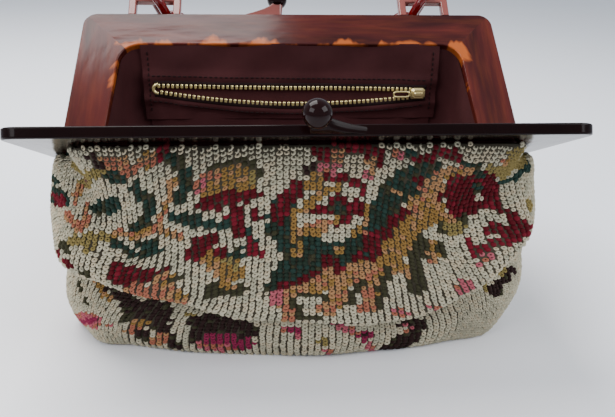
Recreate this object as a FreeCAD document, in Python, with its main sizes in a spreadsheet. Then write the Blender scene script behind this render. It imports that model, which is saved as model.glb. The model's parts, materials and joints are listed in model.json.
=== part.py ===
import FreeCAD, Part
import Sketcher
import math
import os

# A tapestry bag on a hinged acrylic frame that stands wide open.
# Millimetres. X runs along the frame, +Y towards the back, +Z up. The origin is on the surface the bag
# stands on, straight below the hinge axis.

Vector = FreeCAD.Vector
X_AXIS = Vector(1, 0, 0)
Y_AXIS = Vector(0, 1, 0)
Z_AXIS = Vector(0, 0, 1)

doc = FreeCAD.newDocument("tapestry_bag")

# ---------------------------------------------------------------- driving dimensions

DIMENSIONS = {
    # frame
    "frame_top_width": 269.0,
    "frame_hinge_width": 280.0,
    "arm_length": 100.0,
    "band_width": 24.5,
    "plate_thickness": 5.4,
    "closing_gap": 0.3,
    "outer_corner": 9.0,
    "inner_corner": 14.0,
    "edge_round": 1.0,
    "front_lean": 65.0,
    "back_lean": 46.5,
    "hinge_height": 104.0,
    # hinge
    "knuckle_radius": 5.4,
    "knuckle_clearance": 7.5,
    "knuckle_width": 8.0,
    "knuckle_gap": 0.3,
    "web_rise": 2.0,
    "web_inset": 0.3,
    "pin_radius": 1.5,
    "pin_play": 0.05,
    # clasp
    "ball_radius": 6.6,
    "clasp_centre": -2.5,
    "ball_offset": 6.75,
    "ball_rise": 12.5,
    "front_ball_reach": 5.4,
    "back_ball_reach": 1.5,
    "clasp_foot_near": 4.0,
    "clasp_foot_far": 30.0,
    "neck_share": 0.55,
    # handle
    "lug_centre": 90.0,
    "lug_width": 34.0,
    "lug_rise": 15.5,
    "lug_bar": 5.0,
    "link_length": 34.0,
    "link_width": 24.0,
    "link_bar": 6.0,
    "link_play": 0.6,
    "lug_play": 2.2,
    "link_count": 13.0,
    "link_roll": 62.0,
    "handle_tilt": 21.0,
    # body
    "cloth": 3.0,
    "lining_cloth": 0.8,
    "lining_gap": 0.1,
    "body_top": 95.0,
    "front_rise": 127.0,
    "back_rise": 145.0,
    "rise_margin": 4.0,
    "seam_depth": 45.0,
    "board_thickness": 2.5,
    "board_length": 206.0,
    "board_depth": 82.0,
    "board_forward": 4.0,
    # lining flap, pocket and zip
    "flap_front": 55.5,
    "flap_length": 196.0,
    "flap_low": 108.0,
    "flap_high": 150.5,
    "zip_height": 123.5,
    "zip_length": 180.0,
    "zip_gap": 7.0,
    "tape_width": 3.0,
    "tape_thickness": 0.8,
    "tape_end": 3.0,
    "tooth_pitch": 3.0,
    "tooth_size": 1.8,
    "tooth_depth": 1.4,
    "stop_width": 1.8,
    "stop_reach": 2.6,
    "stop_gap": 0.05,
    "slider_length": 10.0,
    "slider_width": 8.0,
    "slider_depth": 2.8,
    "slider_forward": 0.4,
    "pull_length": 13.0,
    "pull_width": 5.0,
    "pull_thickness": 1.2,
    "pull_gap": 0.2,
    "pocket_depth": 29.0,
    "pocket_thickness": 5.0,
    "pocket_margin": 5.0,
    "pocket_gap": 0.2,
}

sheet = doc.addObject("Spreadsheet::Sheet", "dimensions")
for row, (alias, value) in enumerate(DIMENSIONS.items(), start=1):
    sheet.set(f"A{row}", alias)
    sheet.set(f"B{row}", str(value))
    sheet.setAlias(f"B{row}", alias)
doc.recompute()


def size(alias):
    """A driving dimension, read back from the sheet."""
    return float(sheet.get(alias))


def cell(formula):
    """An expression in which each driving dimension's name points at the sheet."""
    words = []
    word = ""
    for letter in formula + " ":
        if letter.isalpha() or letter == "_":
            word += letter
            continue
        if word:
            words.append(f"dimensions.{word}" if word in DIMENSIONS else word)
            word = ""
        words.append(letter)
    return "".join(words).strip()


# ---------------------------------------------------------------- placements and helpers

HINGE = Vector(0, 0, size("hinge_height"))
FRONT_PLACE = FreeCAD.Placement(HINGE, FreeCAD.Rotation(X_AXIS, size("front_lean")))
BACK_PLACE = FreeCAD.Placement(HINGE, FreeCAD.Rotation(X_AXIS, -size("back_lean")))
AT_ORIGIN = FreeCAD.Placement()

parts = []


def keep(item, label, place=AT_ORIGIN):
    """Name a finished sub-part, put it in its place and list it for writing."""
    item.Label = label
    item.Placement = place.multiply(item.Placement)
    parts.append(item)
    return item


def new_body(name):
    return doc.addObject("PartDesign::Body", name + "_body")


def plane(body, role):
    return next(f for f in body.Origin.OriginFeatures if f.Role == role)


def sketch_on(body, name, role, offset):
    """An empty sketch on one of the body's origin planes, moved out along the plane's normal."""
    sketch = body.newObject("Sketcher::SketchObject", name)
    sketch.AttachmentSupport = (plane(body, role), [""])
    sketch.MapMode = "FlatFace"
    sketch.setExpression("AttachmentOffset.Base.z", cell(offset))
    return sketch


def draw_polygon(sketch, corners):
    """A closed polygon; each corner is a pair of formulas that place it from the sketch's origin."""
    values = [(float(doc_value(a)), float(doc_value(b))) for a, b in corners]
    first = sketch.GeometryCount
    count = len(values)
    for index in range(count):
        start = Vector(*values[index], 0)
        end = Vector(*values[(index + 1) % count], 0)
        sketch.addGeometry(Part.LineSegment(start, end), False)
    for index in range(count):
        after = first + (index + 1) % count
        sketch.addConstraint(Sketcher.Constraint("Coincident", first + index, 2, after, 1))
    for index, (across, up) in enumerate(corners):
        for kind, formula, value in (("DistanceX", across, values[index][0]), ("DistanceY", up, values[index][1])):
            constraint = sketch.addConstraint(Sketcher.Constraint(kind, -1, 1, first + index, 1, value))
            sketch.setExpression(f"Constraints[{constraint}]", cell(formula))


def draw_circle(sketch, radius):
    """A circle about the sketch's origin."""
    index = sketch.addGeometry(Part.Circle(Vector(0, 0, 0), Z_AXIS, float(doc_value(radius))), False)
    sketch.addConstraint(Sketcher.Constraint("Coincident", index, 3, -1, 1))
    constraint = sketch.addConstraint(Sketcher.Constraint("Radius", index, float(doc_value(radius))))
    sketch.setExpression(f"Constraints[{constraint}]", cell(radius))


def doc_value(formula):
    """The number a formula stands for."""
    result = sheet.evalExpression(cell(formula).replace("dimensions.", ""))
    return getattr(result, "Value", result)


def pad(body, name, sketch, length):
    feature = body.newObject("PartDesign::Pad", name)
    feature.Profile = sketch
    feature.setExpression("Length", cell(length))
    return feature


def fillet(body, name, base, edges, radius):
    feature = body.newObject("PartDesign::Fillet", name)
    feature.Base = (base, edges)
    feature.setExpression("Radius", cell(radius))
    return feature


def edges_where(shape, test):
    """The names of a shape's edges that pass a test."""
    return [f"Edge{i}" for i, edge in enumerate(shape.Edges, start=1) if test(edge)]


def box(name, length, width, height, corner):
    """A box bound to the sheet; corner is three formulas for its lowest corner."""
    item = doc.addObject("Part::Box", name + "_box")
    for prop, formula in (("Length", length), ("Width", width), ("Height", height)):
        item.setExpression(prop, cell(formula))
    for axis, formula in zip("xyz", corner):
        item.setExpression(f"Placement.Base.{axis}", cell(formula))
    return item


def feature(name, shape):
    """A sub-part whose shape is worked out from the sheet's sizes by Part's own functions."""
    item = doc.addObject("Part::Feature", name + "_shape")
    item.Shape = shape
    return item


# ---------------------------------------------------------------- the two frame halves

ARM_SLOPE = "(frame_hinge_width - frame_top_width) / 2 / arm_length"
FOOT_OUTER = f"(frame_hinge_width / 2 - knuckle_clearance * {ARM_SLOPE})"
INNER_TOP = "(frame_top_width / 2 - band_width)"
TOP_IN = "(arm_length - band_width)"


def frame_half(name, plate_offset, knuckles, web_side):
    """A U-shaped plate with rounded corners, and at each arm's foot the knuckles for the hinge pin.

    plate_offset is the distance from the closing plane to the sketch, along -Y. knuckles lists where
    each knuckle starts, measured out from the arm's inner side, and its width.
    """
    body = new_body(name)
    outline = sketch_on(body, name + "_outline", "XZ_Plane", plate_offset)
    draw_polygon(outline, [
        (f"-{FOOT_OUTER}", "knuckle_clearance"),
        ("-frame_top_width / 2", "arm_length"),
        ("frame_top_width / 2", "arm_length"),
        (FOOT_OUTER, "knuckle_clearance"),
        (f"{FOOT_OUTER} - band_width", "knuckle_clearance"),
        (INNER_TOP, TOP_IN),
        (f"-{INNER_TOP}", TOP_IN),
        (f"-{FOOT_OUTER} + band_width", "knuckle_clearance"),
    ])
    plate = pad(body, name + "_plate", outline, "plate_thickness")
    doc.recompute()

    def across(edge):
        return abs(edge.tangentAt(edge.FirstParameter).y) > 0.99

    def upper(edge):
        return edge.CenterOfMass.z > size("arm_length") / 2

    def is_outer(edge):
        return edge.CenterOfMass.z > size("arm_length") - 1

    rim = fillet(body, name + "_outer_corners", plate,
                 edges_where(plate.Shape, lambda e: across(e) and upper(e) and is_outer(e)), "outer_corner")
    doc.recompute()
    rim = fillet(body, name + "_inner_corners", rim,
                 edges_where(rim.Shape, lambda e: across(e) and upper(e) and not is_outer(e)
                             and abs(e.CenterOfMass.z - size("arm_length") + size("band_width")) < 1),
                 "inner_corner")
    doc.recompute()
    rim = fillet(body, name + "_rounded_edges", rim,
                 edges_where(rim.Shape, lambda e: not across(e) and e.BoundBox.ZMax > size("knuckle_clearance") + 1),
                 "edge_round")
    doc.recompute()

    for side in (-1, 1):
        for number, (start, width) in enumerate(knuckles):
            label = f"{name}_knuckle_{'left' if side < 0 else 'right'}_{number}"
            inner = f"frame_hinge_width / 2 - band_width + {start}"
            offset = inner if side > 0 else f"-({inner}) - ({width})"
            barrel = sketch_on(body, label + "_barrel", "YZ_Plane", offset)
            draw_circle(barrel, "knuckle_radius")
            pad(body, label, barrel, width)
            web = sketch_on(body, label + "_web_outline", "YZ_Plane", offset)
            near = f"{web_side} * closing_gap"
            far = f"{web_side} * (closing_gap + plate_thickness - web_inset)"
            draw_polygon(web, [(near, "0"), (near, "knuckle_clearance + web_rise"),
                               (far, "knuckle_clearance + web_rise"), (far, "0")])
            pad(body, label + "_web", web, width)
            doc.recompute()
    bore = sketch_on(body, name + "_bore", "YZ_Plane", "-frame_hinge_width / 2 - 1")
    draw_circle(bore, "pin_radius + pin_play" if len(knuckles) == 1 else "pin_radius")
    hole = body.newObject("PartDesign::Pocket", name + "_bores")
    hole.Profile = bore
    hole.Reversed = True
    hole.setExpression("Length", cell("frame_hinge_width + 2"))
    doc.recompute()
    return body


MIDDLE_KNUCKLE = [("knuckle_width + knuckle_gap", "band_width - 2 * knuckle_width - 2 * knuckle_gap")]
END_KNUCKLES = [("0", "knuckle_width"), ("band_width - knuckle_width", "knuckle_width")]

front_half = frame_half("front_frame_half", "closing_gap", MIDDLE_KNUCKLE, "-1")
keep(front_half, "front_frame_half", FRONT_PLACE)
back_half = frame_half("back_frame_half", "-closing_gap - plate_thickness", END_KNUCKLES, "1")
keep(back_half, "back_frame_half", BACK_PLACE)

for name, side in (("left_hinge_pin", -1), ("right_hinge_pin", 1)):
    pin = doc.addObject("Part::Cylinder", name + "_cylinder")
    pin.setExpression("Radius", cell("pin_radius"))
    pin.setExpression("Height", cell("band_width"))
    inner_end = size("frame_hinge_width") / 2 - size("band_width")
    start = inner_end if side > 0 else -inner_end - size("band_width")
    pin.Placement = FreeCAD.Placement(Vector(start, 0, 0), FreeCAD.Rotation(Y_AXIS, 90))
    keep(pin, name, BACK_PLACE)

# ---------------------------------------------------------------- the kiss-lock clasp


def clasp(end, side, plate_middle, reach, place):
    """A ball on an arm that sweeps up from the frame's top edge and leans over the closing plane."""
    centre = Vector(size("clasp_centre") + side * size("ball_offset"), plate_middle + reach,
                    size("arm_length") + size("ball_rise"))
    ball = doc.addObject("Part::Sphere", end + "_clasp_sphere")
    ball.setExpression("Radius", cell("ball_radius"))
    ball.Placement = FreeCAD.Placement(centre, FreeCAD.Rotation())

    foot_middle = size("clasp_centre") + side * (size("clasp_foot_near") + size("clasp_foot_far")) / 2
    foot_half = (size("clasp_foot_far") - size("clasp_foot_near")) / 2
    thick_half = size("plate_thickness") / 2 - size("edge_round")
    neck_half = size("ball_radius") * size("neck_share")
    sections = []
    steps = 5
    for step in range(steps + 1):
        part_way = step / steps
        swing = part_way ** 1.5
        half = foot_half + (neck_half - foot_half) * math.sin(part_way * math.pi / 2)
        depth = thick_half + (neck_half - thick_half) * part_way
        middle = Vector(foot_middle + (centre.x - foot_middle) * math.sin(part_way * math.pi / 2),
                        plate_middle + reach * swing,
                        size("arm_length") + (size("ball_rise") - neck_half) * part_way)
        sections.append(rounded_wire(middle, half, depth, min(half, depth) * 0.8))
    arm_shape = Part.makeLoft(sections, True, False)
    arm_shape = arm_shape.cut(Part.makeSphere(size("ball_radius"), centre))
    arm = feature(end + "_clasp_arm", arm_shape)
    keep(arm, end + "_clasp_arm", place)
    keep(ball, end + "_clasp_ball", place)


def rounded_wire(middle, half_x, half_y, radius):
    """A level rounded rectangle about a point."""
    x = half_x
    y = half_y
    r = radius
    flat = r * (1 - math.sqrt(0.5))
    edges = []
    for index, (sx, sy) in enumerate(((1, 1), (-1, 1), (-1, -1), (1, -1))):
        if index % 2 == 0:
            start = Vector(sx * x, sy * (y - r), 0)
            end = Vector(sx * (x - r), sy * y, 0)
        else:
            start = Vector(sx * (x - r), sy * y, 0)
            end = Vector(sx * x, sy * (y - r), 0)
        bend = Vector(sx * (x - flat), sy * (y - flat), 0)
        edges.append(Part.Arc(start + middle, bend + middle, end + middle).toShape())
    joined = []
    for index, edge in enumerate(edges):
        joined.append(edge)
        following = edges[(index + 1) % 4]
        joined.append(Part.LineSegment(edge.Vertexes[-1].Point, following.Vertexes[0].Point).toShape())
    return Part.Wire(joined)


plate_middle = size("closing_gap") + size("plate_thickness") / 2
clasp("front", 1, -plate_middle, size("front_ball_reach"), FRONT_PLACE)
clasp("back", -1, plate_middle, -size("back_ball_reach"), BACK_PLACE)

# ---------------------------------------------------------------- the handle's lugs


def handle_lug(name, side):
    """A rectangular loop that stands on the back half's top edge."""
    body = new_body(name)
    loop = sketch_on(body, name + "_outline", "XZ_Plane", "-closing_gap - plate_thickness / 2 - lug_bar / 2")
    middle = f"{side} * lug_centre"
    draw_polygon(loop, [
        (f"{middle} - lug_width / 2", "arm_length"),
        (f"{middle} - lug_width / 2", "arm_length + lug_rise"),
        (f"{middle} + lug_width / 2", "arm_length + lug_rise"),
        (f"{middle} + lug_width / 2", "arm_length"),
        (f"{middle} + lug_width / 2 - lug_bar", "arm_length"),
        (f"{middle} + lug_width / 2 - lug_bar", "arm_length + lug_rise - lug_bar"),
        (f"{middle} - lug_width / 2 + lug_bar", "arm_length + lug_rise - lug_bar"),
        (f"{middle} - lug_width / 2 + lug_bar", "arm_length"),
    ])
    block = pad(body, name + "_loop", loop, "lug_bar")
    doc.recompute()
    long_edges = edges_where(block.Shape, lambda e: abs(e.tangentAt(e.FirstParameter).y) < 0.5
                             and e.CenterOfMass.z > size("arm_length") + 1)
    fillet(body, name + "_rounded", block, long_edges, "edge_round")
    doc.recompute()
    return body


keep(handle_lug("left_handle_lug", -1), "left_handle_lug", BACK_PLACE)
keep(handle_lug("right_handle_lug", 1), "right_handle_lug", BACK_PLACE)

# ---------------------------------------------------------------- the chain handle


def stadium_link():
    """A link: a round bar bent to a long loop, centred on the origin, long along Z, flat in the XZ plane."""
    bar = size("link_bar")
    bend = (size("link_width") - bar) / 2
    straight = size("link_length") / 2 - bar / 2 - bend
    path = Part.Wire([
        Part.LineSegment(Vector(bend, 0, -straight), Vector(bend, 0, straight)).toShape(),
        Part.Arc(Vector(bend, 0, straight), Vector(0, 0, straight + bend), Vector(-bend, 0, straight)).toShape(),
        Part.LineSegment(Vector(-bend, 0, straight), Vector(-bend, 0, -straight)).toShape(),
        Part.Arc(Vector(-bend, 0, -straight), Vector(0, 0, -straight - bend), Vector(bend, 0, -straight)).toShape(),
    ])
    profile = Part.Wire([Part.Circle(Vector(bend, 0, -straight), Z_AXIS, bar / 2).toShape()])
    return path.makePipeShell([profile], True, True)


def catenary(span, length):
    """The parameter of the hanging curve of a given length over a given span."""
    low = 1.0
    high = 50.0 * span
    for _ in range(100):
        middle = (low + high) / 2
        if 2 * middle * math.sinh(span / 2 / middle) > length:
            low = middle
        else:
            high = middle
    return middle


crossbar_local = Vector(0, plate_middle, size("arm_length") + size("lug_rise") - size("lug_bar") / 2)
crossbar = BACK_PLACE.multVec(crossbar_local)
link_pitch = size("link_length") - 2 * size("link_bar") - size("link_play")
first_drop = size("link_length") / 2 - size("link_bar") - size("lug_bar") / 2 - size("lug_play")
link_total = int(size("link_count"))
chain_length = 2 * first_drop + link_pitch * (link_total - 1)
span = 2 * size("lug_centre")
hang = catenary(span, chain_length)


def on_chain(distance):
    """The point of the hanging chain, in its own plane, at a distance along it from the left lug."""
    along = hang * math.asinh((distance - chain_length / 2) / hang)
    drop = hang * (math.cosh(along / hang) - math.cosh(span / 2 / hang))
    return Vector(along, 0, drop)


tilt = FreeCAD.Rotation(X_AXIS, size("handle_tilt"))
for number in range(link_total):
    centre_at = first_drop + link_pitch * number
    ahead = on_chain(centre_at + link_pitch / 2)
    behind = on_chain(centre_at - link_pitch / 2)
    direction = (ahead - behind).normalize()
    middle = (ahead + behind) * 0.5
    roll = size("link_roll") - 90.0 * (number % 2)
    aim = FreeCAD.Rotation(Z_AXIS, direction)
    turn = tilt.multiply(aim).multiply(FreeCAD.Rotation(Z_AXIS, roll))
    link = feature(f"chain_link_{number + 1:02d}", stadium_link())
    place = FreeCAD.Placement(crossbar + tilt.multVec(middle), turn)
    keep(link, f"chain_link_{number + 1:02d}", place)

# ---------------------------------------------------------------- the tapestry body


# height, half length, front, back and corner radius of the body's level sections
SECTIONS = [
    (0.0, 121.0, -60.0, 50.0, 26.0),
    (14.0, 134.0, -69.0, 58.0, 34.0),
    (52.0, 137.0, -76.0, 67.0, 42.0),
    (95.0, 138.0, -77.0, 70.0, 46.0),
]


def level_section(height, inset):
    """The body's outline at a height, moved in by inset all round."""
    for low, high in zip(SECTIONS, SECTIONS[1:]):
        if low[0] <= height <= high[0] + 1e-6:
            share = (height - low[0]) / (high[0] - low[0])
            _, half, front, back, radius = [a + (b - a) * share for a, b in zip(low, high)]
            break
    middle = Vector(0, (front + back) / 2, height)
    return rounded_wire(middle, half - inset, (back - front) / 2 - inset, radius - inset)


def shell(floor, inset, thickness):
    """An open-topped shell that follows the body's outline, inset from it, with no floor of its own."""
    heights = [floor] + [row[0] for row in SECTIONS if row[0] > floor + 1]
    outer = Part.makeLoft([level_section(height, inset) for height in heights], True, True)
    inner = Part.makeLoft([level_section(height, inset + thickness) for height in heights], True, True)
    return outer.cut(inner)


def slab(low, high):
    """A block between two corners."""
    return Part.makeBox(high[0] - low[0], high[1] - low[1], high[2] - low[2], Vector(*low))


# far enough out to be clear of the whole bag
FAR = 200.0
seam = size("seam_depth")
REGIONS = {
    "front": slab((-FAR, -FAR, 0), (FAR, -seam, FAR)),
    "back": slab((-FAR, seam, 0), (FAR, FAR, FAR)),
    "left_gusset": slab((-FAR, -seam, 0), (0, seam, FAR)),
    "right_gusset": slab((0, -seam, 0), (FAR, seam, FAR)),
}
cloth = size("cloth")
lining_cloth = size("lining_cloth")
top = size("body_top")
front_edge = SECTIONS[-1][2]
back_edge = SECTIONS[-1][3]
rise_half = size("frame_top_width") / 2 - size("band_width") - size("rise_margin")
rises = {
    "front": slab((-rise_half, front_edge, top), (rise_half, front_edge + cloth, size("front_rise"))),
    "back": slab((-rise_half, back_edge - cloth, top), (rise_half, back_edge, size("back_rise"))),
}

base = Part.makeLoft([level_section(0.0, 0.0), level_section(cloth, 0.0)], True, True)
keep(feature("tapestry_base", base), "tapestry_base")
walls = shell(cloth, 0.0, cloth)
for side, region in REGIONS.items():
    panel = walls.common(region)
    if side in rises:
        panel = panel.fuse(rises[side]).removeSplitter()
    keep(feature("tapestry_" + side, panel), "tapestry_" + side)

board = box("base_board", "board_length", "board_depth", "board_thickness",
            ("-board_length / 2", "-board_depth / 2 - board_forward", "cloth"))
keep(board, "base_board")

lining_floor = cloth + size("board_thickness")
lining_inset = cloth + size("lining_gap")
lining_base = Part.makeLoft([level_section(lining_floor, lining_inset),
                             level_section(lining_floor + lining_cloth, lining_inset)], True, True)
keep(feature("lining_base", lining_base), "lining_base")
lining_walls = shell(lining_floor + lining_cloth, lining_inset, lining_cloth)
for side, region in REGIONS.items():
    name = "lining_back_lower" if side == "back" else "lining_" + side
    keep(feature(name, lining_walls.common(region)), name)

# ---------------------------------------------------------------- lining flap, pocket and zip

flap = new_body("lining_back")
flap_outline = sketch_on(flap, "lining_back_outline", "XZ_Plane", "-flap_front - lining_cloth")
draw_polygon(flap_outline, [("-flap_length / 2", "flap_low"), ("-flap_length / 2", "flap_high"),
                            ("flap_length / 2", "flap_high"), ("flap_length / 2", "flap_low")])
pad(flap, "lining_back_sheet", flap_outline, "lining_cloth")
slit_outline = sketch_on(flap, "lining_back_slit_outline", "XZ_Plane", "-flap_front - lining_cloth - 1")
SLIT_HALF = "(zip_gap / 2 + tape_width)"
draw_polygon(slit_outline, [("-zip_length / 2 - tape_end", f"zip_height - {SLIT_HALF}"),
                            ("-zip_length / 2 - tape_end", f"zip_height + {SLIT_HALF}"),
                            ("zip_length / 2 + tape_end", f"zip_height + {SLIT_HALF}"),
                            ("zip_length / 2 + tape_end", f"zip_height - {SLIT_HALF}")])
slit = flap.newObject("PartDesign::Pocket", "lining_back_slit")
slit.Profile = slit_outline
slit.Reversed = True
slit.setExpression("Length", cell("lining_cloth + 2"))
doc.recompute()
keep(flap, "lining_back")

for name, low in (("zip_tape_upper", "zip_height + zip_gap / 2"),
                  ("zip_tape_lower", "zip_height - zip_gap / 2 - tape_width")):
    tape = box(name, "zip_length + 2 * tape_end", "tape_thickness", "tape_width",
               ("-zip_length / 2 - tape_end", "flap_front", low))
    keep(tape, name)


def teeth(side):
    """One row of brass teeth along a tape's inner edge, each a small block."""
    count = int(size("zip_length") / size("tooth_pitch"))
    tooth = size("tooth_size")
    edge = size("zip_height") + side * size("zip_gap") / 2
    row = []
    for number in range(count):
        across = (number - (count - 1) / 2) * size("tooth_pitch")
        if side < 0:
            across += size("tooth_pitch") / 2
        block = Part.makeBox(tooth, size("tooth_depth"), tooth,
                             Vector(across - tooth / 2, size("flap_front") - size("tooth_depth") / 2,
                                    edge - (tooth if side > 0 else 0)))
        row.append(block)
    return Part.makeCompound(row)


keep(feature("zip_teeth_upper", teeth(1)), "zip_teeth_upper")
keep(feature("zip_teeth_lower", teeth(-1)), "zip_teeth_lower")

stop = box("zip_end_stop", "stop_width", "tooth_depth", "zip_gap + 2 * tooth_size",
           ("-zip_length / 2 - stop_reach", "flap_front - tooth_depth - stop_gap",
            "zip_height - zip_gap / 2 - tooth_size"))
keep(stop, "zip_end_stop")

SLIDER_BACK = "flap_front - tooth_depth / 2 - slider_forward"
SLIDER_LEFT = "zip_length / 2 - slider_length"
slider = box("zip_slider", "slider_length", "slider_depth", "slider_width",
             (SLIDER_LEFT, f"{SLIDER_BACK} - slider_depth", "zip_height - slider_width / 2"))
keep(slider, "zip_slider")
pull = box("zip_pull_tab", "pull_length", "pull_thickness", "pull_width",
           (f"{SLIDER_LEFT} - pull_length", f"{SLIDER_BACK} - slider_depth - pull_gap - pull_thickness",
            "zip_height - pull_width / 2"))
keep(pull, "zip_pull_tab")

pocket = box("zip_pocket_bag", "zip_length + 2 * pocket_margin", "pocket_thickness", "pocket_depth",
             ("-zip_length / 2 - pocket_margin", "flap_front + lining_cloth + pocket_gap",
              "zip_height + zip_gap / 2 + tape_width - pocket_depth"))
keep(pocket, "zip_pocket_bag")

# ---------------------------------------------------------------- checks and files

doc.recompute()
for item in doc.Objects:
    if "Invalid" in item.State or "Error" in item.State:
        raise RuntimeError(f"{item.Name} did not build: {item.State}")

os.makedirs("parts", exist_ok=True)
for item in parts:
    if item.Shape.isNull() or not item.Shape.isValid() or not item.Shape.Solids:
        raise RuntimeError(f"{item.Label} has no valid solid")
    item.Shape.exportStep(f"parts/{item.Label}.step")
    bounds = item.Shape.BoundBox
    print(f"{item.Label}: {len(item.Shape.Solids)} solid, volume {item.Shape.Volume:.0f},"
          f" x {bounds.XMin:.1f}..{bounds.XMax:.1f}, y {bounds.YMin:.1f}..{bounds.YMax:.1f},"
          f" z {bounds.ZMin:.1f}..{bounds.ZMax:.1f}")
print(f"{len(parts)} nodes, chain {chain_length:.0f} mm")
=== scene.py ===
import bpy
import json
import math
import numpy as np
from mathutils import Matrix, Vector


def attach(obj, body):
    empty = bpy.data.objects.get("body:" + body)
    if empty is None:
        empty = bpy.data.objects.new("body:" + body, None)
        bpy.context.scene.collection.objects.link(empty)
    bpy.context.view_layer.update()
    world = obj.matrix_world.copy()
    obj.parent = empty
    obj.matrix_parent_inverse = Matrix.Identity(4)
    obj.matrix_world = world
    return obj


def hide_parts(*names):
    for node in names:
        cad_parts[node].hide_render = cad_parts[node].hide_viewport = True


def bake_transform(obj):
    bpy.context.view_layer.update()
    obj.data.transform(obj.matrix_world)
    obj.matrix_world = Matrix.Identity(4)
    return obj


# A tapestry bag on a tortoiseshell frame, open on a pale table.
# Shapes are in millimetres and are turned into metres when a mesh is made. Materials and lights use metres.
# A place on the tapestry is u, the distance round the bag from the middle of the front or the back, and v,
# the height along the cloth. Side is -1 for the front and 1 for the back.

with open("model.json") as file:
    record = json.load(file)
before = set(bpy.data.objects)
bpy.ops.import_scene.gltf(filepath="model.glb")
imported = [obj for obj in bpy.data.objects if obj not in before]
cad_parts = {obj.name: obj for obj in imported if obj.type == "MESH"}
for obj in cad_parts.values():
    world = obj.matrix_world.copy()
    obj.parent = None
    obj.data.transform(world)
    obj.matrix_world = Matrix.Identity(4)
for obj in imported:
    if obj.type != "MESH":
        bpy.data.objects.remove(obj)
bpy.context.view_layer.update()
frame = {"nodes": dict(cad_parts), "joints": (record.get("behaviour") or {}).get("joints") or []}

MM = 0.001
JOINTS = {joint["name"]: joint for joint in frame["joints"]}
HINGE_Z = JOINTS["front_frame_hinge"]["pos_m"][2] / MM
FRONT_LEAN = math.radians(JOINTS["front_frame_hinge"]["range_deg"][1])
BACK_LEAN = math.radians(JOINTS["back_frame_hinge"]["range_deg"][1])
RANDOM = np.random.default_rng(7)


def smooth(value):
    """An ease from 0 to 1."""
    value = np.clip(value, 0.0, 1.0)
    return value * value * (3 - 2 * value)


# ---- meshes


def make_piece(name, points, faces, material, slot, rounded=True):
    """A mesh object from points in millimetres and an array of four-cornered faces."""
    points = np.asarray(points, float).reshape(-1, 3) * MM
    faces = np.asarray(faces, np.int32).reshape(-1, 4)
    mesh = bpy.data.meshes.new(name)
    mesh.vertices.add(len(points))
    mesh.vertices.foreach_set("co", points.ravel())
    mesh.loops.add(faces.size)
    mesh.loops.foreach_set("vertex_index", faces.ravel())
    mesh.polygons.add(len(faces))
    mesh.polygons.foreach_set("loop_start", np.arange(0, faces.size, 4, dtype=np.int32))
    mesh.polygons.foreach_set("use_smooth", np.full(len(faces), rounded))
    mesh.update(calc_edges=True)
    mesh.validate()
    mesh.materials.append(material)
    piece = bpy.data.objects.new(name, mesh)
    bpy.context.scene.collection.objects.link(piece)
    return piece


def grid_faces(rows, columns, close_rows=0, close_columns=0):
    """The faces of a grid of points; a 1 joins the last row or column of points to the first."""
    index = np.arange(rows * columns).reshape(rows, columns)
    index = np.pad(index, ((0, close_rows), (0, close_columns)), "wrap")
    return np.stack([index[:-1, :-1], index[1:, :-1], index[1:, 1:], index[:-1, 1:]], -1).reshape(-1, 4)


def grid_piece(name, rows, made, slot, turned=False):
    """A smooth mesh over a grid of points; turned makes it face the other way."""
    rows = np.asarray(rows)
    faces = grid_faces(*rows.shape[:2])
    return make_piece(name, rows, faces[:, ::-1] if turned else faces, made, slot)


def points_at(x, y, z):
    """Points from their coordinates, any of which may be one number for all."""
    return np.stack(np.broadcast_arrays(x, y, z), -1)


def unit(vectors):
    """The same vectors, each one long."""
    return vectors / np.maximum(np.linalg.norm(vectors, axis=-1, keepdims=True), 1e-6)


def thicken(piece, thickness, offset=-1.0):
    """Gives a sheet its thickness, behind its faces (-1) or in front of them (1)."""
    solid = piece.modifiers.new("thickness", "SOLIDIFY")
    solid.thickness = thickness * MM
    solid.offset = offset
    bpy.context.view_layer.objects.active = piece
    with bpy.context.temp_override(object=piece, active_object=piece):
        bpy.ops.object.modifier_apply(modifier=solid.name)


def copies(template, faces, places, axes):
    """Many copies of a small template; axes holds three scaled axis vectors for each copy."""
    points = np.einsum("vk,nkc->nvc", template, axes) + places[:, None, :]
    count = len(template)
    all_faces = faces[None, :, :] + (np.arange(len(places)) * count)[:, None, None]
    return points.reshape(-1, 3), all_faces.reshape(-1, 4)


# ---- materials


def give(made, target, value):
    """Links a socket to target, or sets target to a number, a vector or a colour."""
    if isinstance(value, bpy.types.NodeSocket):
        made.node_tree.links.new(value, target)
    else:
        target.default_value = (*value, 1) if target.type == "RGBA" else value


def add_node(made, kind, **inputs):
    """A new node; inputs names its sockets."""
    node = made.node_tree.nodes.new(kind)
    for socket, value in inputs.items():
        give(made, node.inputs[socket], value)
    return node


def set_shader(made, **inputs):
    """Gives the material's Principled shader its values; inputs names its sockets."""
    shader = made.node_tree.nodes["Principled BSDF"]
    for socket, value in inputs.items():
        give(made, shader.inputs[socket.replace("_", " ")], value)


def material(name, colour, roughness, **extra):
    """A Principled material; extra names the shader's other sockets."""
    made = bpy.data.materials.new(name)
    made.use_nodes = True
    set_shader(made, Base_Color=colour, Roughness=roughness, **extra)
    return made


def object_coordinates(made):
    return add_node(made, "ShaderNodeTexCoord").outputs["Object"]


def ramp(made, source, stops):
    """A colour ramp with the stops (place, colour)."""
    node = add_node(made, "ShaderNodeValToRGB", Fac=source)
    elements = node.color_ramp.elements
    while len(elements) < len(stops):
        elements.new(0.5)
    for element, (place, colour) in zip(elements, stops):
        element.position = place
        element.color = (*colour, 1)
    return node.outputs["Color"]


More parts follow.
